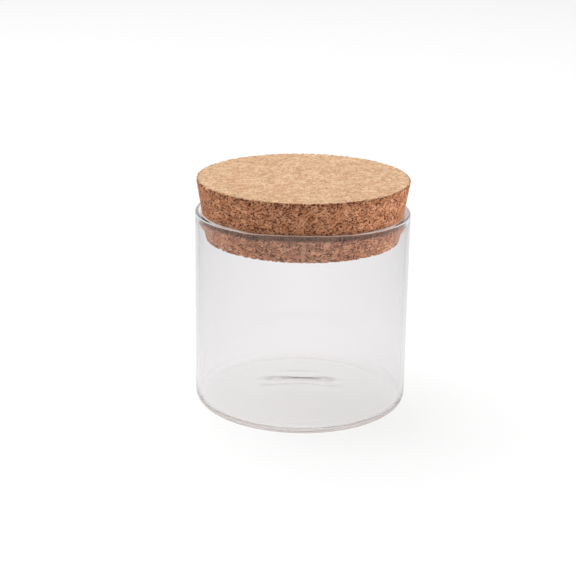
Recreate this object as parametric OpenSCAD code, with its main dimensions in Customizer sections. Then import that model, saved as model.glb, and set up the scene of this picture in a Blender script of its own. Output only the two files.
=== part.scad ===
// Round glass storage jar with a tapered cork stopper.
// The jar is one piece of glass, revolved about Z. It stands on Z = 0.
// The stopper wedges in the mouth, and lifts straight up out of it.

/* [Jar] */
// Outer diameter of the glass
jar_d = 80; // [60:0.5:110]
// Height of the glass, from the table to the top of the rim
jar_h = 74.2; // [50:0.1:140]
// Thickness of the straight wall
wall_t = 1.8; // [1.2:0.1:3]

/* [Rim] */
// How much thicker the melted rim is than the wall, all of it inwards
rim_swell = 0.7; // [0.1:0.05:1]
// Radius of the hollow that blends the rim into the bore
rim_blend_r = 5; // [2:0.5:10]

/* [Base] */
// Outer radius of the heel, where the wall turns into the base
heel_r = 2.8; // [1:0.1:5]
// Inner radius of the same corner, inside the jar
inner_heel_r = 3; // [1:0.1:8]
// Thickness of the base where it is flat
base_t = 2.4; // [1.6:0.1:5]
// Radius of the hollow that is pushed up into the underside
hollow_r = 28; // [18:0.5:34]
// How far the middle of that hollow stands above the table
push_up = 1; // [0.4:0.1:1.4]

/* [Stopper] */
// Height of the stopper above the rim
lid_above = 12.3; // [6:0.1:25]
// Depth of the stopper below the rim
lid_below = 10; // [5:0.1:20]
// Slope of the stopper's side, in degrees from upright
lid_taper = 9.3; // [3:0.1:12]
// Bevel on the stopper's top and bottom edges
lid_bevel = 0.4; // [0.2:0.1:2]
// Gap between the stopper and the rim that it seats on
seat_gap = 0.1; // [0.05:0.01:0.3]

/* [Hidden] */

// Segments of a full turn, of a small arc and of the wide arcs under the base
turn_fn = 180;
arc_fn = 96;
wide_fn = 1440;

// How far a blend arc bites into the curves that it touches, so that they always meet
bite = 0.002;

jar_r = jar_d / 2;
bore_r = jar_r - wall_t;

// The rim is a half-round bead whose outside is in line with the wall
rim_r = (wall_t + rim_swell) / 2;
rim_x = jar_r - rim_r;
rim_z = jar_h - rim_r;
blend_x = bore_r - rim_blend_r;
blend_z = rim_z - sqrt(pow(rim_r + rim_blend_r, 2) - pow(rim_x - blend_x, 2));

// The hollow is an S curve of two equal arcs: a dome in the middle, and a lip that
// runs out level with the table
curve_r = (hollow_r * hollow_r + push_up * push_up) / (4 * push_up);
dome_z = push_up - curve_r;

// Centre of the inner corner's arc, tangent to the bore and to the flat floor
inner_heel_x = bore_r - inner_heel_r;
inner_heel_z = base_t + inner_heel_r;

// The stopper's side is a cone that touches the bead, less the gap
lid_top_z = jar_h + lid_above;
lid_bottom_z = jar_h - lid_below;
seat_r = rim_x - (rim_r + seat_gap) / cos(lid_taper);

// Radius of the stopper's cone at a height
function lid_r(z) = seat_r + (z - rim_z) * tan(lid_taper);

// The corner that a blend arc leaves between the two curves that it touches
// around holds the points that close the corner, anticlockwise from the arc's centre
module cove(centre, radius, around, fn = arc_fn) {
    difference() {
        polygon([centre, each around]);
        translate(centre) circle(r = radius + bite, $fn = fn);
    }
}

// The jar's outside as if it were solid glass, up to the bead's middle
module outer_section() {
    translate([0, heel_r]) square([jar_r, rim_z - heel_r]);
    square([jar_r - heel_r, heel_r]);
    translate([jar_r - heel_r, heel_r]) circle(r = heel_r, $fn = arc_fn);
}

// The hollow under the base
module under_section() {
    translate([0, dome_z]) circle(r = curve_r, $fn = wide_fn);
    cove([hollow_r, curve_r], curve_r, [[0, dome_z], [hollow_r, 0]], wide_fn);
}

// The flat floor and the rounded corner that joins it to the wall
module floor_section() {
    square([bore_r, base_t]);
    cove(
        [inner_heel_x, inner_heel_z],
        inner_heel_r,
        [[inner_heel_x, base_t], [bore_r, base_t], [bore_r, inner_heel_z]]
    );
}

// The melted rim and its blend into the bore
module rim_section() {
    translate([rim_x, rim_z]) circle(r = rim_r, $fn = arc_fn);
    cove([blend_x, blend_z], rim_blend_r, [[bore_r, blend_z], [rim_x, rim_z]]);
}

// Half of the jar's section, with the axis at X = 0
module jar_section() {
    difference() {
        intersection() {
            outer_section();
            union() {
                translate([bore_r, 0]) square([wall_t, rim_z]);
                floor_section();
            }
        }
        under_section();
    }
    rim_section();
}

// Half of the stopper's section: a tapered disc with both edges broken
module lid_section() {
    polygon([
        [0, lid_bottom_z],
        [lid_r(lid_bottom_z) - lid_bevel, lid_bottom_z],
        [lid_r(lid_bottom_z + lid_bevel), lid_bottom_z + lid_bevel],
        [lid_r(lid_top_z - lid_bevel), lid_top_z - lid_bevel],
        [lid_r(lid_top_z) - lid_bevel, lid_top_z],
        [0, lid_top_z]
    ]);
}

module glass_jar() {
    color([0.86, 0.89, 0.88, 0.35]) rotate_extrude($fn = turn_fn) jar_section();
}

module cork_lid() {
    color([0.76, 0.57, 0.39]) rotate_extrude($fn = turn_fn) lid_section();
}

glass_jar();
cork_lid();
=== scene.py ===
"""A round glass storage jar with a tapered cork stopper, dressed for its picture.

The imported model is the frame: it gives each piece its body, its place and its outer size.
Lengths are in metres, +Z is up, and +Y points away from the viewer.
"""

import logging
import math
from dataclasses import dataclass, field
from enum import Enum

import bmesh
import bpy
from mathutils import Matrix, Vector, noise


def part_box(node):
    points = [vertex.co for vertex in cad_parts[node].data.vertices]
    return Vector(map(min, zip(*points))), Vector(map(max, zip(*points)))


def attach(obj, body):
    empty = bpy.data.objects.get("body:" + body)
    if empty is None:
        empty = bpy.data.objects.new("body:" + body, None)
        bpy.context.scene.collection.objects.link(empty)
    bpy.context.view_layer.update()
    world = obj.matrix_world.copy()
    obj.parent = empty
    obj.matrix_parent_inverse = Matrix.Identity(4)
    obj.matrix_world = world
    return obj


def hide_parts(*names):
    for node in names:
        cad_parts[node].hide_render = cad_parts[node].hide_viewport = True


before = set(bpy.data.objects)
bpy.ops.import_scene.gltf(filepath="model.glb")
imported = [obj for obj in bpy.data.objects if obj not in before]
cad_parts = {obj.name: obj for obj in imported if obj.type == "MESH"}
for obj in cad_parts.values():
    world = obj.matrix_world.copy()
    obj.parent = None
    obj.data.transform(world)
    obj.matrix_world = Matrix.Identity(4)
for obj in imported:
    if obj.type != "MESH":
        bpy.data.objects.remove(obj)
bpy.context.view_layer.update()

MM = 0.001
FULL_TURN = 2 * math.pi

# Points that lie closer than this are merged
WELD = 1e-6

# Slope of the stopper's side from upright, which the inside of the rim follows
CORK_SLOPE = math.radians(9.3)

# How many times as wide as tall a granule is, because the cork was pressed from above
GRANULE_FLATNESS = 1.5

Place = tuple[float, float, float]
Colour = tuple[float, float, float, float]
WHITE: Colour = (1.0, 1.0, 1.0, 1.0)

# What a node's input takes: the output that feeds it, or a plain value
Feed = bpy.types.NodeSocket | float | Place | Colour

log = logging.getLogger("jar")


class GlassZone(Enum):
    """The two kinds of glass surface, in the order of the jar's material slots."""

    CLEAR = 0
    # Milky white that stands as a painted highlight on the rim's top
    MILKY_HIGHLIGHT = 1


class CorkZone(Enum):
    """The two kinds of cork surface, in the order of the stopper's material slots."""

    FACE = 0
    SIDE = 1


def smooth_step(low: float, high: float, value: float) -> float:
    """Eases from 0 at low to 1 at high."""
    share = min(max((value - low) / (high - low), 0.0), 1.0)
    return share * share * (3 - 2 * share)


def round_radius(low: Vector, high: Vector) -> float:
    """Returns the radius of the largest upright cylinder about Z that fits in a box."""
    return min(high[0], -low[0], high[1], -low[1])


@dataclass(frozen=True)
class Patches:
    """Uneven patches that come and go through space, drawn by a noise between about -1 and 1.

    A patch begins where the noise reaches start, and has its full strength where it reaches full.
    """

    size: float
    shift: Place
    start: float
    full: float

    def strength(self, place: Vector, ease: float = 0.0) -> float:
        """Says how far inside a patch a point lies.

        Args:
            place: the point.
            ease: how much sooner than usual a patch starts there.

        Returns:
            0 between the patches to 1 inside one.
        """
        level = noise.noise(place / self.size + Vector(self.shift))
        return smooth_step(self.start - ease, self.full - ease, level)


@dataclass
class Section:
    """Half of a round piece's outline in the XZ plane, drawn from point to point."""

    points: list[Vector] = field(default_factory=list)

    def to(self, x: float, z: float) -> None:
        """Draws a straight line to a point."""
        self.points.append(Vector((x, 0, z)))

    def line(self, x: float, z: float, steps: int) -> None:
        """Draws a straight line to a point in even steps.

        Args:
            x: how far the point is from the axis.
            z: the point's height.
            steps: how many steps the line has.
        """
        start, end = self.points[-1].copy(), Vector((x, 0, z))
        for step in range(1, steps + 1):
            self.points.append(start.lerp(end, step / steps))

    def arc(
        self, centre: tuple[float, float], radius: float, start: float, end: float, steps: int
    ) -> None:
        """Draws an arc.

        Args:
            centre: the arc's centre, as X and Z.
            radius: the arc's radius.
            start: the angle at which it starts, in degrees from +X towards +Z.
            end: the angle at which it ends.
            steps: how many straight steps stand for it.
        """
        for step in range(steps + 1):
            angle = math.radians(start + (end - start) * step / steps)
            self.to(centre[0] + radius * math.cos(angle), centre[1] + radius * math.sin(angle))

    def spin(self, mesh: bmesh.types.BMesh, steps: int) -> None:
        """Turns the outline about Z into a surface.

        Args:
            mesh: the mesh that takes the surface.
            steps: how many faces go round.
        """
        line = [mesh.verts.new(point) for point in self.points]
        edges = [mesh.edges.new(pair) for pair in zip(line, line[1:])]
        bmesh.ops.spin(
            mesh,
            geom=line + edges,
            cent=(0, 0, 0),
            axis=(0, 0, 1),
            dvec=(0, 0, 0),
            angle=FULL_TURN,
            steps=steps,
            use_merge=True,
            use_normal_flip=False,
            use_duplicate=False,
        )
        bmesh.ops.remove_doubles(mesh, verts=mesh.verts, dist=WELD)

    def wrap(self, mesh: bmesh.types.BMesh, steps: int) -> None:
        """Bends a flat grid round Z along the outline, which is quicker than a spin for a fine mesh.

        Args:
            mesh: the empty mesh that takes the surface.
            steps: how many faces go round.
        """
        half = 0.5
        rows = len(self.points) - 1
        made = bmesh.ops.create_grid(mesh, x_segments=steps, y_segments=rows, size=half)
        for vert in made["verts"]:
            turn = FULL_TURN * vert.co.x
            point = self.points[round((vert.co.y + half) * rows)]
            vert.co = Vector((point.x * math.cos(turn), point.x * math.sin(turn), point.z))
        bmesh.ops.remove_doubles(mesh, verts=mesh.verts, dist=WELD)


def finished_object(mesh: bmesh.types.BMesh, name: str) -> bpy.types.Object:
    """Makes a smooth-shaded object at the origin.

    Args:
        mesh: the geometry, which is freed.
        name: the piece's name.

    Returns:
        The new object, linked to the scene.
    """
    data = bpy.data.meshes.new(name)
    mesh.to_mesh(data)
    mesh.free()
    data.polygons.foreach_set("use_smooth", [True] * len(data.polygons))
    piece = bpy.data.objects.new(name, data)
    bpy.context.scene.collection.objects.link(piece)
    return piece


class NodeSheet:
    """A node tree with short calls for adding and joining nodes."""

    def __init__(self, tree: bpy.types.NodeTree) -> None:
        """Starts on an empty tree."""
        self.tree = tree
        self.tree.nodes.clear()

    def feed(self, socket: bpy.types.NodeSocket, value: Feed) -> None:
        """Gives an input what it takes.

        Args:
            socket: the input.
            value: the output that feeds it, or a plain value.
        """
        if isinstance(value, bpy.types.NodeSocket):
            self.tree.links.new(value, socket)
        else:
            socket.default_value = value

    def add(
        self, kind: str, inputs: dict[str | int, Feed] | None = None, **settings: object
    ) -> bpy.types.Node:
        """Adds a node.

        Args:
            kind: the node's type.
            inputs: what the inputs take, by their names or numbers.
            settings: the node's own properties.

        Returns:
            The new node.
        """
        node = self.tree.nodes.new(kind)
        for key, value in settings.items():
            setattr(node, key, value)
        for key, value in (inputs or {}).items():
            self.feed(node.inputs[key], value)
        return node

    def math(self, operation: str, first: Feed, second: Feed = 0.0) -> bpy.types.NodeSocket:
        """Adds a Math node that is held between 0 and 1 and returns its output."""
        node = self.add("ShaderNodeMath", {0: first, 1: second}, operation=operation, use_clamp=True)
        return node.outputs[0]

    def add_share(self, value: Feed, share: float, rest: Feed) -> bpy.types.NodeSocket:
        """Adds a share of a value to the rest, without limits, and returns the output."""
        inputs = {0: value, 1: share, 2: rest}
        return self.add("ShaderNodeMath", inputs, operation="MULTIPLY_ADD").outputs[0]

    def choose(self, share: Feed, first: Feed, second: Feed) -> bpy.types.NodeSocket:
        """Passes evenly from first to second as a share goes from 0 to 1 and returns the output."""
        inputs = {"Value": share, "To Min": first, "To Max": second}
        return self.add("ShaderNodeMapRange", inputs).outputs[0]

    def ease(
        self, value: Feed, low: float, high: float, first: Feed = 0.0, second: Feed = 1.0
    ) -> bpy.types.NodeSocket:
        """Passes smoothly from first to second as a value goes from low to high.

        Args:
            value: the value that leads the way.
            low: where the passage starts.
            high: where it ends, which may be less than low.
            first: what comes out up to low.
            second: what comes out from high on.

        Returns:
            The output.
        """
        inputs = {"Value": value, "From Min": low, "From Max": high, "To Min": first, "To Max": second}
        return self.add("ShaderNodeMapRange", inputs, interpolation_type="SMOOTHSTEP").outputs[0]

    def blend(self, share: Feed, first: Feed, second: Feed) -> bpy.types.NodeSocket:
        """Mixes two colours.

        Args:
            share: how much of the second colour goes in, from 0 to 1.
            first: the first colour.
            second: the second colour.

        Returns:
            The output.
        """
        node = self.add("ShaderNodeMix", data_type="RGBA")
        parts = {("Factor", "VALUE"): share, ("A", "RGBA"): first, ("B", "RGBA"): second}
        for wanted, value in parts.items():
            self.feed(next(s for s in node.inputs if (s.name, s.type) == wanted), value)
        return next(s for s in node.outputs if s.type == "RGBA")

    def waves(
        self, place: Feed, scale: float, detail: float, roughness: float = 0.5
    ) -> bpy.types.NodeOutputs:
        """Adds soft noise and returns its outputs, the value as Fac and three at once as Color."""
        inputs = {"Vector": place, "Scale": scale, "Detail": detail, "Roughness": roughness}
        return self.add("ShaderNodeTexNoise", inputs).outputs

    def cells(self, place: Feed, scale: float, feature: str = "F1") -> bpy.types.NodeOutputs:
        """Adds a pattern of uneven cells and returns its outputs."""
        inputs = {"Vector": place, "Scale": scale}
        return self.add("ShaderNodeTexVoronoi", inputs, feature=feature).outputs

    def tones(self, colour: Feed) -> bpy.types.NodeOutputs:
        """Splits a colour into its three values and returns the outputs."""
        return self.add("ShaderNodeSeparateColor", {0: colour}).outputs

    def seen_in_glass(self) -> bpy.types.NodeSocket:
        """Tells what the glass shows the viewer from light that falls on the cork and the floor.

        Returns:
            1 for what is seen through the glass or mirrored in it, and 0 for everything else.
        """
        half_a_bounce = 0.5
        path = self.add("ShaderNodeLightPath").outputs
        bent = self.math("MAXIMUM", path["Is Transmission Ray"], path["Is Glossy Ray"])
        return self.math("MULTIPLY", bent, self.math("LESS_THAN", path["Diffuse Depth"], half_a_bounce))


def blank_material(name: str) -> tuple[bpy.types.Material, NodeSheet]:
    """Makes a material that has no nodes yet.

    Args:
        name: the material's name.

    Returns:
        The material and its empty sheet.
    """
    material = bpy.data.materials.new(name)
    material.use_nodes = True
    return material, NodeSheet(material.node_tree)


@dataclass(frozen=True)
class GlassFinish:
    """Clear borosilicate glass, or with less clearness a milky white skin, which on the rim's top is a
    painted highlight that stands in for the rim's bright edge.
    """

    name: str = "clear_glass"
    tint: Colour = (0.99, 0.982, 0.986, 1.0)
    clearness: float = 1.0
    roughness: float = 0.0
    ior: float = 1.474
    shadow: Colour = (0.97, 0.97, 0.97, 1.0)

    def make(self) -> bpy.types.Material:
        """Makes the material, which lets the light of the lamps straight through to what it holds.

        Returns:
            The finished material.
        """
        material, sheet = blank_material(self.name)
        glass = sheet.add(
            "ShaderNodeBsdfPrincipled",
            {
                "Base Color": self.tint,
                "Roughness": self.roughness,
                "IOR": self.ior,
                "Transmission Weight": self.clearness,
            },
        )
        clear = sheet.add("ShaderNodeBsdfTransparent", {"Color": self.shadow})
        path = sheet.add("ShaderNodeLightPath")
        mix = sheet.add(
            "ShaderNodeMixShader",
            {0: path.outputs["Is Shadow Ray"], 1: glass.outputs[0], 2: clear.outputs[0]},
        )
        sheet.add("ShaderNodeOutputMaterial", {"Surface": mix.outputs[0]})
        return material


@dataclass(frozen=True)
class CorkGrain:
    """The pattern of cork granules that runs through the whole stopper.

    A scale says how often a form repeats in a metre, and a share how much of it goes into a mix.
    Between its start and its full a mark comes up: rust by a number that each granule has, a seam
    and the edge by how near the granule's edge is. The breaks are a noise that leaves a seam out
    below break_start.
    """

    swirl_scale: float = 650.0
    swirl_reach: float = 1.8 * MM
    granule_scale: float = 440.0
    crumb_scale: float = 1100.0
    fibre_scale: float = 2600.0
    detail: float = 3.0
    granule_share: float = 0.7
    crumb_share: float = 0.30
    fibre_share: float = 0.30
    tone_shift: float = -0.15
    rust_start: float = 0.55
    rust_full: float = 0.95
    seam_start: float = 0.07
    seam_full: float = 0.02
    break_scale: float = 500.0
    break_detail: float = 2.0
    break_start: float = 0.48
    break_full: float = 0.60
    hole_scale: float = 1500.0
    hole_roughness: float = 0.62
    edge_start: float = 0.25
    edge_share: float = 0.09

    def places(self, sheet: NodeSheet) -> tuple[bpy.types.NodeSocket, bpy.types.NodeSocket]:
        """Presses the pattern flat and bends it.

        Args:
            sheet: the group's nodes.

        Returns:
            The flattened place, and the same place bent, which gives granules uneven outlines.
        """
        raw = sheet.add("NodeGroupInput").outputs["Place"]
        flatten = {0: raw, 1: (1.0, 1.0, GRANULE_FLATNESS)}
        flat = sheet.add("ShaderNodeVectorMath", flatten, operation="MULTIPLY").outputs[0]
        swirl = sheet.waves(flat, self.swirl_scale, self.detail)["Color"]
        bend = {0: swirl, 1: (self.swirl_reach,) * 3, 2: flat}
        return flat, sheet.add("ShaderNodeVectorMath", bend, operation="MULTIPLY_ADD").outputs[0]

    def make(self) -> bpy.types.NodeTree:
        """Builds the shader group that the cork finishes share.

        Returns:
            A group that takes a place and gives Granule, Rust, Seam, Hole and Height, from about 0 to 1.
        """
        tree = bpy.data.node_groups.new("cork_granules", "ShaderNodeTree")
        tree.interface.new_socket("Place", in_out="INPUT", socket_type="NodeSocketVector")
        sheet = NodeSheet(tree)
        flat, bent = self.places(sheet)
        granules = sheet.tones(sheet.cells(bent, self.granule_scale)["Color"])
        crumbs = sheet.tones(sheet.cells(bent, self.crumb_scale)["Color"])
        edge = sheet.cells(bent, self.granule_scale, "DISTANCE_TO_EDGE")["Distance"]
        breaks = sheet.waves(flat, self.break_scale, self.break_detail)["Fac"]
        torn = sheet.waves(bent, self.hole_scale, self.detail, self.hole_roughness)["Fac"]
        fibre = sheet.waves(flat, self.fibre_scale, self.detail)["Fac"]
        tone = sheet.add_share(crumbs["Green"], self.crumb_share, self.tone_shift)
        tone = sheet.add_share(granules["Red"], self.granule_share, tone)
        near = sheet.ease(edge, self.edge_start, 0.0)
        thin = sheet.ease(edge, self.seam_start, self.seam_full)
        whole = sheet.ease(breaks, self.break_start, self.break_full)
        drawn = {
            "Granule": sheet.add_share(fibre, self.fibre_share, tone),
            "Rust": sheet.ease(granules["Green"], self.rust_start, self.rust_full),
            "Seam": sheet.math("MULTIPLY", thin, whole),
            "Hole": sheet.add_share(near, self.edge_share, torn),
            "Height": fibre,
        }
        for name in drawn:
            tree.interface.new_socket(name, in_out="OUTPUT", socket_type="NodeSocketFloat")
        sheet.add("NodeGroupOutput", drawn)
        return tree


@dataclass(frozen=True)
class CorkFinish:
    """Pressed cork: granules of three tones with dark holes and thin seams between them."""

    name: str
    pale: Colour
    brown: Colour
    rust: Colour
    fleck: Colour
    rust_share: float
    seam_share: float
    hole_share: float
    hole_start: float
    hole_ease: float = 0.06
    # Painted shade: how far the fleck colour darkens the side in the band under the rim, where the rim's
    # shadow falls
    rim_shade_share: float = 0.75
    roughness: float = 0.9
    gloss: float = 0.2
    bump: float = 0.5
    bump_depth: float = 0.3 * MM
    dark_depth: float = 0.7

    def make(self, grain: bpy.types.NodeTree) -> bpy.types.Material:
        """Makes the material.

        Args:
            grain: the shared group that draws the granules.

        Returns:
            The finished material.
        """
        material, sheet = blank_material(self.name)
        place = sheet.add("ShaderNodeTexCoord").outputs["Object"]
        pit = sheet.add("ShaderNodeAttribute", attribute_name="pit").outputs["Fac"]
        rim_shade = sheet.add("ShaderNodeAttribute", attribute_name="rim_shade").outputs["Fac"]
        drawn = sheet.add("ShaderNodeGroup", {"Place": place}, node_tree=grain).outputs
        body = sheet.blend(drawn["Granule"], self.pale, self.brown)
        body = sheet.blend(sheet.math("MULTIPLY", drawn["Rust"], self.rust_share), body, self.rust)
        seam = sheet.math("MULTIPLY", drawn["Seam"], self.seam_share)
        hole = sheet.ease(drawn["Hole"], self.hole_start, self.hole_start + self.hole_ease)
        hole = sheet.math("MULTIPLY", hole, self.hole_share)
        dark = sheet.math("MAXIMUM", sheet.math("MAXIMUM", seam, hole), pit)
        colour = sheet.blend(dark, body, self.fleck)
        # Painted shade: the band under the rim turns towards the fleck colour and stands in for the
        # rim's shadow
        colour = sheet.blend(sheet.math("MULTIPLY", rim_shade, self.rim_shade_share), colour, self.fleck)
        sunk = sheet.math("MULTIPLY", dark, self.dark_depth)
        height = sheet.math("SUBTRACT", drawn["Height"], sunk)
        relief = {"Strength": self.bump, "Distance": self.bump_depth, "Height": height}
        cork = sheet.add(
            "ShaderNodeBsdfPrincipled",
            {
                "Base Color": colour,
                "Roughness": self.roughness,
                "Specular IOR Level": self.gloss,
                "Normal": sheet.add("ShaderNodeBump", relief).outputs[0],
            },
        )
        sheet.add("ShaderNodeOutputMaterial", {"Surface": cork.outputs[0]})
        return material


@dataclass(frozen=True)
class PaperFinish:
    """Matt white paper that glows as under a wide soft light, and less in what the glass shows of it."""

    name: str = "floor_paper"
    white: Colour = (0.22, 0.22, 0.22, 1.0)
    glow: float = 0.768
    glow_in_glass: float = 0.61
    side_glow_in_glass: float = 0.30
    side_reach: float = 0.25

    def make(self) -> bpy.types.Material:
        """Makes the material.

        Returns:
            The finished material.
        """
        material, sheet = blank_material(self.name)
        place = sheet.add("ShaderNodeTexCoord").outputs["Object"]
        aside = sheet.math("ABSOLUTE", sheet.add("ShaderNodeSeparateXYZ", {0: place}).outputs["X"])
        shown = sheet.ease(aside, 0.0, self.side_reach, self.glow_in_glass, self.side_glow_in_glass)
        paper = sheet.add(
            "ShaderNodeBsdfPrincipled",
            {
                "Base Color": self.white,
                "Roughness": 1.0,
                "Specular IOR Level": 0.0,
                "Emission Color": WHITE,
                "Emission Strength": sheet.choose(sheet.seen_in_glass(), self.glow, shown),
            },
        )
        sheet.add("ShaderNodeOutputMaterial", {"Surface": paper.outputs[0]})
        return material


@dataclass(frozen=True)
class Dip:
    """A stretch of the melted rim that has sunk, or risen where its depth is less than 0.

    Its place and its width are in degrees round the rim, from +X towards +Y.
    """

    turn: float
    width: float
    depth: float

    def drop(self, turn: float) -> float:
        """Returns how far this stretch lowers the rim at an angle round it."""
        away = (turn - self.turn + 180) % 360 - 180
        return self.depth * math.exp(-((away / self.width) ** 2))


@dataclass
class GlassJar:
    """The jar: a straight tube wall, a melted rim and a base closed from the same glass.

    Each square is a power that makes the rim's top squarer than a half circle, which has 2. The bead
    below it starts at an angle in degrees from +X. The sag is measured down from the top of the rim.
    """

    radius: float = field(init=False)
    height: float = field(init=False)
    bore: float = field(init=False)
    wall: float = 1.8 * MM
    rim_swell: float = 0.7 * MM
    rim_blend: float = 5.0 * MM
    heel: float = 3.6 * MM
    inner_heel: float = 2.2 * MM
    base: float = 2.4 * MM
    hollow: float = 28.0 * MM
    push_up: float = 0.9 * MM
    outer_square: float = 3.5
    inner_square: float = 14.0
    bead_start: float = 182.0
    turn_steps: int = 256
    hollow_steps: int = 40
    foot_steps: int = 10
    heel_steps: int = 20
    wall_steps: int = 24
    rim_steps: int = 40
    bead_steps: int = 6
    blend_steps: int = 8
    floor_steps: int = 60
    ripple: float = 0.02 * MM
    ripple_size: float = 9.0 * MM
    ripple_share: float = 0.6
    sag_start: float = 6.0 * MM
    sag_full: float = 1.5 * MM
    dips: tuple[Dip, ...] = (
        Dip(turn=-90.0, width=24.0, depth=-0.45 * MM),
        Dip(turn=-118.0, width=7.0, depth=0.30 * MM),
        Dip(turn=-62.0, width=14.0, depth=0.10 * MM),
        Dip(turn=-150.0, width=18.0, depth=0.14 * MM),
        Dip(turn=-15.0, width=20.0, depth=0.18 * MM),
        Dip(turn=40.0, width=25.0, depth=0.15 * MM),
        Dip(turn=100.0, width=22.0, depth=0.20 * MM),
        Dip(turn=155.0, width=24.0, depth=0.12 * MM),
    )
    # Painted highlight: a milky white band on the inner edge of the rim's top, set by its depth from the
    # top and its inset from the outside
    milky_highlight_depth: float = 0.5 * MM
    clear_edge: float = 1.25 * MM
    finish: GlassFinish = GlassFinish()
    # The painted highlight's finish: mostly white and diffuse, with little clear glass
    rim_highlight_finish: GlassFinish = GlassFinish(
        name="milky_rim_highlight",
        tint=(0.95, 0.97, 0.96, 1.0),
        clearness=0.15,
        roughness=0.04,
        shadow=(0.9, 0.9, 0.9, 1.0),
    )

    def __post_init__(self) -> None:
        """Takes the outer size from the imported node."""
        low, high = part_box("glass_jar")
        self.radius = round_radius(low, high)
        self.height = high[2]
        self.bore = self.radius - self.wall

    def draw_base(self, outline: Section) -> None:
        """Draws the hollow under the base, the flat ring that the jar stands on and the heel.

        Args:
            outline: the empty section that takes them.
        """
        curve = (self.hollow**2 + self.push_up**2) / (4 * self.push_up)
        slope = math.degrees(math.asin(self.hollow / (2 * curve)))
        heel_x = self.radius - self.heel
        outline.arc((0, self.push_up - curve), curve, 90, 90 - slope, self.hollow_steps)
        outline.arc((self.hollow, curve), curve, -90 - slope, -90, self.hollow_steps)
        outline.line(heel_x, 0, self.foot_steps)
        outline.arc((heel_x, self.heel), self.heel, -90, 0, self.heel_steps)

    def draw_rim(self, outline: Section) -> None:
        """Draws the wall's outside, the melted rim and its blend into the bore.

        The rim's top is flatter than a half circle, above all on the inside, and keeps clear of the
        stopper's slope.

        Args:
            outline: the section that takes them.
        """
        rim = (self.wall + self.rim_swell) / 2
        rim_x = self.radius - rim
        rim_z = self.height - rim
        outline.line(self.radius, rim_z, self.wall_steps)
        for step in range(1, self.rim_steps + 1):
            angle = math.pi * step / self.rim_steps
            power = 2 / (self.outer_square if step < self.rim_steps / 2 else self.inner_square)
            along = math.copysign(abs(math.cos(angle)) ** power, math.cos(angle))
            z = rim_z + rim * math.sin(angle) ** power
            inner = rim_x - rim + (z - rim_z) * math.tan(CORK_SLOPE)
            outline.to(max(rim_x + rim * along, inner), z)
        reach = rim + self.rim_blend
        blend_x = self.bore - self.rim_blend
        drop = math.sqrt(reach**2 - (rim_x - blend_x) ** 2)
        lean = math.degrees(math.asin(drop / reach))
        outline.arc((rim_x, rim_z), rim, self.bead_start, 180 + lean, self.bead_steps)
        outline.arc((blend_x, rim_z - drop), self.rim_blend, lean, 0, self.blend_steps)

    def draw_inside(self, outline: Section) -> None:
        """Draws the bore, the inner corner and the floor.

        Args:
            outline: the section that takes them.
        """
        corner_x = self.bore - self.inner_heel
        corner_z = self.base + self.inner_heel
        outline.line(self.bore, corner_z, self.wall_steps)
        outline.arc((corner_x, corner_z), self.inner_heel, 0, -90, self.heel_steps)
        outline.line(0, self.base, self.floor_steps)

    def sag(self, place: Vector) -> float:
        """Says how far the melted rim has sunk.

        Args:
            place: a point of the jar.

        Returns:
            The drop at this point, less than 0 where the rim has risen.
        """
        turn = math.degrees(math.atan2(place.y, place.x))
        drop = sum(dip.drop(turn) for dip in self.dips)
        return drop * smooth_step(self.height - self.sag_start, self.height - self.sag_full, place.z)

    def mark_zones(self, mesh: bmesh.types.BMesh) -> None:
        """Gives the inner edge of the rim's top the milky white finish, a painted highlight.

        Args:
            mesh: the turned jar.
        """
        for face in mesh.faces:
            middle = face.calc_center_median()
            inside = math.hypot(middle.x, middle.y) < self.radius - self.clear_edge
            on_top = middle.z > self.height - self.milky_highlight_depth
            zone = GlassZone.MILKY_HIGHLIGHT if inside and on_top else GlassZone.CLEAR
            face.material_index = zone.value

    def shape_by_hand(self, mesh: bmesh.types.BMesh) -> None:
        """Lets the rim rise and dip, and the middle of the base ripple, as in a jar made by hand.

        Args:
            mesh: the turned jar.
        """
        for vert in mesh.verts:
            place = vert.co.copy()
            vert.co.z -= self.sag(place)
            if place.z < self.base + self.inner_heel:
                radius = math.hypot(place.x, place.y)
                middle = 1 - smooth_step(self.ripple_share * self.hollow, self.hollow, radius)
                swell = noise.noise(place / self.ripple_size)
                vert.co.z += self.ripple * swell * middle

    def build(self) -> bpy.types.Object:
        """Builds the jar.

        Returns:
            The jar, without its finish.
        """
        outline = Section()
        self.draw_base(outline)
        self.draw_rim(outline)
        self.draw_inside(outline)
        mesh = bmesh.new()
        outline.spin(mesh, self.turn_steps)
        self.mark_zones(mesh)
        self.shape_by_hand(mesh)
        bmesh.ops.recalc_face_normals(mesh, faces=mesh.faces)
        return finished_object(mesh, "blown_jar")

    def dress(self, piece: bpy.types.Object) -> None:
        """Gives the jar its finish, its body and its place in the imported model.

        Args:
            piece: the built jar.
        """
        for finish in (self.finish, self.rim_highlight_finish):
            piece.data.materials.append(finish.make())
        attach(piece, "jar")
        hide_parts("glass_jar")


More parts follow.
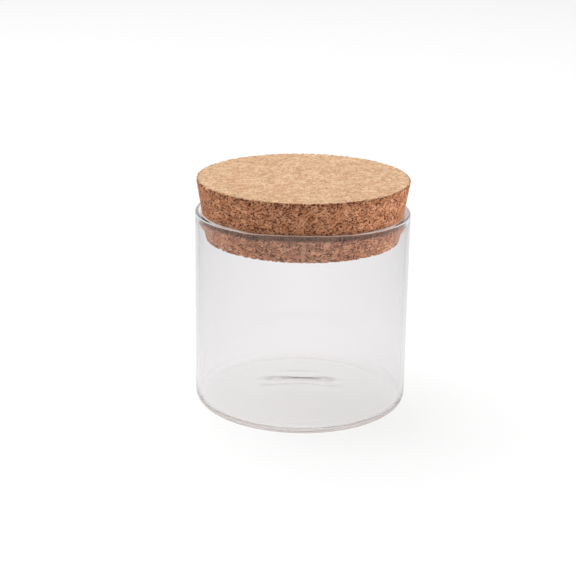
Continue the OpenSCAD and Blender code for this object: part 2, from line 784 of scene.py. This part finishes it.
@dataclass
class CorkStopper:
    """The stopper: a tapered disc of pressed cork granules with sanded faces.

    A tilt is the upright part of a normal: up to side_tilt a surface is side, and from face_tilt on
    it is a flat face. The crumbling and the band of painted shade under the rim are measured down from
    the top and from the rim.
    """

    jar: GlassJar
    low: float = field(init=False)
    high: float = field(init=False)
    widest: float = field(init=False)
    bevel: float = 0.4 * MM
    turn_steps: int = 960
    side_rows: int = 64
    bevel_rows: int = 2
    edge_rows: int = 10
    middle_rows: int = 6
    edge_width: float = 3.5 * MM
    side_tilt: float = 0.3
    face_tilt: float = 0.9
    granule: float = 2.2 * MM
    wander: float = 0.35 * MM
    wander_size: float = 0.9 * MM
    seam_width: float = 0.16
    seam_depth: float = 0.8
    torn_seams: Patches = Patches(size=1.8 * MM, shift=(7.1, 3.3, 1.9), start=0.22, full=0.50)
    holes: Patches = Patches(size=0.85 * MM, shift=(2.5, 8.1, 4.4), start=0.44, full=0.58)
    pit_depth: float = 0.45 * MM
    crumble: float = 0.16
    crumble_start: float = 3.0 * MM
    crumble_full: float = 0.5 * MM
    chips: Patches = Patches(size=1.3 * MM, shift=(3.7, 9.2, 5.5), start=-0.05, full=0.45)
    chip_depth: float = 1.2 * MM
    chip_reach: float = 1.3 * MM
    # The band of painted shade under the rim: how far its top lies below the rim, its soft top edge and
    # its width
    rim_shade_drop: float = 0.6 * MM
    rim_shade_edge: float = 0.3 * MM
    rim_shade_width: float = 2.0 * MM
    grain: CorkGrain = CorkGrain()
    face: CorkFinish = CorkFinish(
        name="cork_face",
        pale=(0.77, 0.53, 0.34, 1.0),
        brown=(0.60, 0.38, 0.22, 1.0),
        rust=(0.56, 0.29, 0.155, 1.0),
        fleck=(0.24, 0.095, 0.04, 1.0),
        rust_share=0.5,
        seam_share=0.35,
        hole_share=0.85,
        hole_start=0.612,
    )
    side: CorkFinish = CorkFinish(
        name="cork_side",
        pale=(0.84, 0.42, 0.233, 1.0),
        brown=(0.50, 0.18, 0.082, 1.0),
        rust=(0.36, 0.11, 0.045, 1.0),
        fleck=(0.035, 0.010, 0.006, 1.0),
        rust_share=0.4,
        seam_share=0.3,
        hole_share=0.9,
        hole_start=0.578,
    )

    def __post_init__(self) -> None:
        """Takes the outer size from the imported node."""
        low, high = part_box("cork_lid")
        self.low = low[2]
        self.high = high[2]
        self.widest = round_radius(low, high)

    def radius(self, z: float) -> float:
        """Returns the radius of the tapered side at a height."""
        return self.widest - (self.high - self.bevel - z) * math.tan(CORK_SLOPE)

    def section(self) -> Section:
        """Draws the outline from the middle of the bottom face round to the middle of the top face.

        Returns:
            The outline, with rows close together near the edges and on the side.
        """
        bottom, top = self.low + self.bevel, self.high - self.bevel
        lower = self.radius(self.low) - self.bevel
        upper = self.radius(self.high) - self.bevel
        outline = Section()
        outline.to(0, self.low)
        outline.line(lower - self.edge_width, self.low, self.middle_rows)
        outline.line(lower, self.low, self.edge_rows)
        outline.line(self.radius(bottom), bottom, self.bevel_rows)
        outline.line(self.radius(top), top, self.side_rows)
        outline.line(upper, self.high, self.bevel_rows)
        outline.line(upper - self.edge_width, self.high, self.edge_rows)
        outline.line(0, self.high, self.middle_rows)
        return outline

    def pitted(self, place: Vector) -> float:
        """Says how deep the tapered side is pitted, more so near the top edge.

        Args:
            place: a point of the side.

        Returns:
            0 for none to 1 for the deepest.
        """
        below = self.high - place.z
        crumble = self.crumble * (1 - smooth_step(self.crumble_full, self.crumble_start, below))
        flat = Vector((place.x, place.y, place.z * GRANULE_FLATNESS))
        moved = flat + noise.noise_vector(flat / self.wander_size) * self.wander
        near, next_near = noise.voronoi(moved / self.granule)[0][:2]
        seam = 1 - smooth_step(0.0, self.seam_width, next_near - near)
        seam *= self.torn_seams.strength(flat, crumble)
        return min(1.0, self.seam_depth * seam + self.holes.strength(flat, crumble))

    def painted_rim_shade(self, place: Vector) -> float:
        """Says how dark the band of painted shade is that stands for the rim's shadow on the side, just
        below the rim.

        Args:
            place: a point of the side.

        Returns:
            0 off the band to 1 on it.
        """
        rim = Vector((place.x, place.y, self.jar.height))
        top = self.jar.height - self.rim_shade_drop - self.jar.sag(rim)
        below_top = 1 - smooth_step(top - self.rim_shade_edge, top, place.z)
        return below_top * smooth_step(top - self.rim_shade_width, top - self.rim_shade_width / 2, place.z)

    def chipped(self, place: Vector) -> float:
        """Says how much of the sharp edges has crumbled away.

        Args:
            place: a point of the stopper.

        Returns:
            0 for none to 1 for the most.
        """
        from_side = self.radius(place.z) - math.hypot(place.x, place.y)
        from_face = min(self.high - place.z, place.z - self.low)
        near = 1 - smooth_step(0.0, self.chip_reach, math.hypot(from_side, from_face))
        return near * self.chips.strength(place)

    def mark_zones(self, mesh: bmesh.types.BMesh) -> None:
        """Tells the two flat faces from the side and the bevels.

        Args:
            mesh: the turned stopper.
        """
        for face in mesh.faces:
            zone = CorkZone.FACE if abs(face.normal.z) > self.face_tilt else CorkZone.SIDE
            face.material_index = zone.value

    def wear_down(self, mesh: bmesh.types.BMesh) -> None:
        """Pits the side and crumbles the edges, and marks the pits and the band of painted shade under
        the rim for the finish.

        Args:
            mesh: the turned stopper.
        """
        pit = mesh.verts.layers.float.new("pit")
        # The second layer holds the band of painted shade under the rim
        rim_shade = mesh.verts.layers.float.new("rim_shade")
        inner = self.radius(self.low) - self.edge_width
        for vert in mesh.verts:
            if math.hypot(vert.co.x, vert.co.y) < inner:
                continue
            side = 1 - smooth_step(self.side_tilt, self.face_tilt, abs(vert.normal.z))
            vert[pit] = side * self.pitted(vert.co)
            vert[rim_shade] = side * self.painted_rim_shade(vert.co)
            depth = self.pit_depth * vert[pit] + self.chip_depth * self.chipped(vert.co)
            vert.co -= vert.normal * depth

    def build(self) -> bpy.types.Object:
        """Builds the stopper.

        Returns:
            The stopper, without its finish.
        """
        mesh = bmesh.new()
        self.section().wrap(mesh, self.turn_steps)
        bmesh.ops.recalc_face_normals(mesh, faces=mesh.faces)
        mesh.normal_update()
        self.mark_zones(mesh)
        self.wear_down(mesh)
        return finished_object(mesh, "cork_stopper")

    def dress(self, piece: bpy.types.Object) -> None:
        """Gives the stopper its finish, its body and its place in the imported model.

        Args:
            piece: the built stopper.
        """
        grain = self.grain.make()
        for finish in (self.face, self.side):
            piece.data.materials.append(finish.make(grain))
        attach(piece, "lid")
        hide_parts("cork_lid")


@dataclass(frozen=True)
class PhotoCamera:
    """The camera that took the photograph: its place in front of the jar, and its small turns there.

    The lens and the sensor are in millimetres.
    """

    distance: float = 0.5530
    elevation: float = math.radians(22.34)
    yaw: float = math.radians(-0.546)
    pitch: float = math.radians(4.267)
    roll: float = math.radians(-1.034)
    lens: float = 88.89
    sensor: float = 36.0
    nearest: float = 0.01
    farthest: float = 100.0

    def facing(self) -> tuple[Matrix, Vector]:
        """Works out how the camera stands.

        Returns:
            Its turn, and its place.
        """
        back = Vector((0, -math.cos(self.elevation), math.sin(self.elevation)))
        ahead = -back
        right = Vector((1, 0, 0))
        above = right.cross(ahead)
        turn = Matrix.Rotation(-self.yaw, 3, above)
        ahead, right = turn @ ahead, turn @ right
        tilt = Matrix.Rotation(self.pitch, 3, right)
        ahead, above = tilt @ ahead, tilt @ above
        lean = Matrix.Rotation(self.roll, 3, ahead)
        right, above = lean @ right, lean @ above
        return Matrix((right, above, -ahead)).transposed().to_4x4(), back * self.distance

    def place(self) -> None:
        """Puts the camera in the scene."""
        data = bpy.data.cameras.new("camera")
        data.lens = self.lens
        data.sensor_width = self.sensor
        data.clip_start = self.nearest
        data.clip_end = self.farthest
        turn, spot = self.facing()
        camera = bpy.data.objects.new("camera", data)
        camera.matrix_world = Matrix.Translation(spot) @ turn
        bpy.context.scene.collection.objects.link(camera)
        bpy.context.scene.camera = camera


@dataclass(frozen=True)
class SoftLamp:
    """A square soft lamp that shines at the middle of the jar and doesn't show in the glass."""

    name: str
    place: Place
    size: float
    power: float
    target: Place = (0.0, 0.0, 0.05)

    def hang(self) -> None:
        """Hangs the lamp in the scene."""
        data = bpy.data.lights.new(self.name, "AREA")
        data.size = self.size
        data.energy = self.power
        lamp = bpy.data.objects.new(self.name, data)
        lamp.location = self.place
        lamp.visible_glossy = False
        lamp.visible_transmission = False
        lamp.rotation_mode = "QUATERNION"
        lamp.rotation_quaternion = (Vector(self.target) - Vector(self.place)).to_track_quat("-Z", "Y")
        bpy.context.scene.collection.objects.link(lamp)


@dataclass(frozen=True)
class Sky:
    """A sky with three brightnesses: low down at the back, high up at the back, and in front.

    One passes into the next between two limits, which are Z and Y of the way looked, at length 1.
    """

    low: float
    high: float
    front: float
    low_limit: float = 0.30
    high_limit: float = 0.50
    front_limit: float = -0.40
    back_limit: float = 0.10

    def brightness(self, sheet: NodeSheet, way: bpy.types.NodeOutputs) -> bpy.types.NodeSocket:
        """Draws the sky.

        Args:
            sheet: the world's nodes.
            way: the outputs that hold X, Y and Z of the way looked.

        Returns:
            The brightness.
        """
        back = sheet.ease(way["Z"], self.low_limit, self.high_limit, self.low, self.high)
        return sheet.ease(way["Y"], self.front_limit, self.back_limit, self.front, back)


@dataclass
class Studio:
    """The camera, the pale floor and the soft light.

    The lit sky is what falls on the cork and the floor, and the seen sky is what the glass shows.
    """

    camera: PhotoCamera = PhotoCamera()
    floor_size: float = 30.0
    floor_gap: float = 0.04 * MM
    paper: PaperFinish = PaperFinish()
    lit_sky: Sky = Sky(low=1.05, high=0.30, front=0.20)
    seen_sky: Sky = Sky(low=0.83, high=0.65, front=0.85)
    backdrop: float = 1.05
    lamps: tuple[SoftLamp, ...] = (
        SoftLamp(name="top_light", place=(-0.35, 0.35, 1.3), size=1.2, power=18.0),
        SoftLamp(name="right_light", place=(1.4, 0.1, 0.35), size=0.8, power=12.5),
        SoftLamp(name="left_light", place=(-1.4, 0.2, 0.35), size=0.8, power=2.5),
    )
    bounces: int = 40

    def lay_floor(self) -> None:
        """Lays the floor, a hair's breadth below the jar."""
        mesh = bmesh.new()
        bmesh.ops.create_grid(mesh, x_segments=1, y_segments=1, size=self.floor_size)
        bmesh.ops.translate(mesh, verts=mesh.verts, vec=(0, 0, -self.floor_gap))
        floor = finished_object(mesh, "floor")
        floor.data.materials.append(self.paper.make())

    def raise_sky(self) -> None:
        """Sets the sky, which is plain where the camera sees it past the floor."""
        world = bpy.data.worlds.new("studio")
        bpy.context.scene.world = world
        world.use_nodes = True
        sheet = NodeSheet(world.node_tree)
        looked = sheet.add("ShaderNodeTexCoord").outputs["Generated"]
        way = sheet.add("ShaderNodeSeparateXYZ", {0: looked}).outputs
        lit = self.lit_sky.brightness(sheet, way)
        seen = self.seen_sky.brightness(sheet, way)
        glow = sheet.choose(sheet.seen_in_glass(), lit, seen)
        direct = sheet.add("ShaderNodeLightPath").outputs["Is Camera Ray"]
        glow = sheet.choose(direct, glow, self.backdrop)
        sky = sheet.add("ShaderNodeBackground", {"Color": WHITE, "Strength": glow})
        sheet.add("ShaderNodeOutputWorld", {"Surface": sky.outputs[0]})

    def develop(self) -> None:
        """Sets how light is followed and how the picture is developed."""
        scene = bpy.context.scene
        scene.view_settings.view_transform = "Standard"
        scene.view_settings.look = "None"
        scene.view_settings.exposure = 0.0
        scene.view_settings.gamma = 1.0
        scene.cycles.use_denoising = True
        scene.cycles.blur_glossy = 0.0
        scene.cycles.max_bounces = self.bounces
        scene.cycles.transmission_bounces = self.bounces
        scene.cycles.glossy_bounces = self.bounces

    def set_up(self) -> None:
        """Sets up the whole studio round the empty place of the jar."""
        self.camera.place()
        self.lay_floor()
        self.raise_sky()
        for lamp in self.lamps:
            lamp.hang()
        self.develop()


def main() -> None:
    """Builds the scene in order and reports each piece."""
    logging.basicConfig(level=logging.INFO, format="%(message)s")
    Studio().set_up()
    jar = GlassJar()
    for maker in (jar, CorkStopper(jar)):
        piece = maker.build()
        maker.dress(piece)
        log.info("%s: %d faces", piece.name, len(piece.data.polygons))


if __name__ == "__main__":
    main()
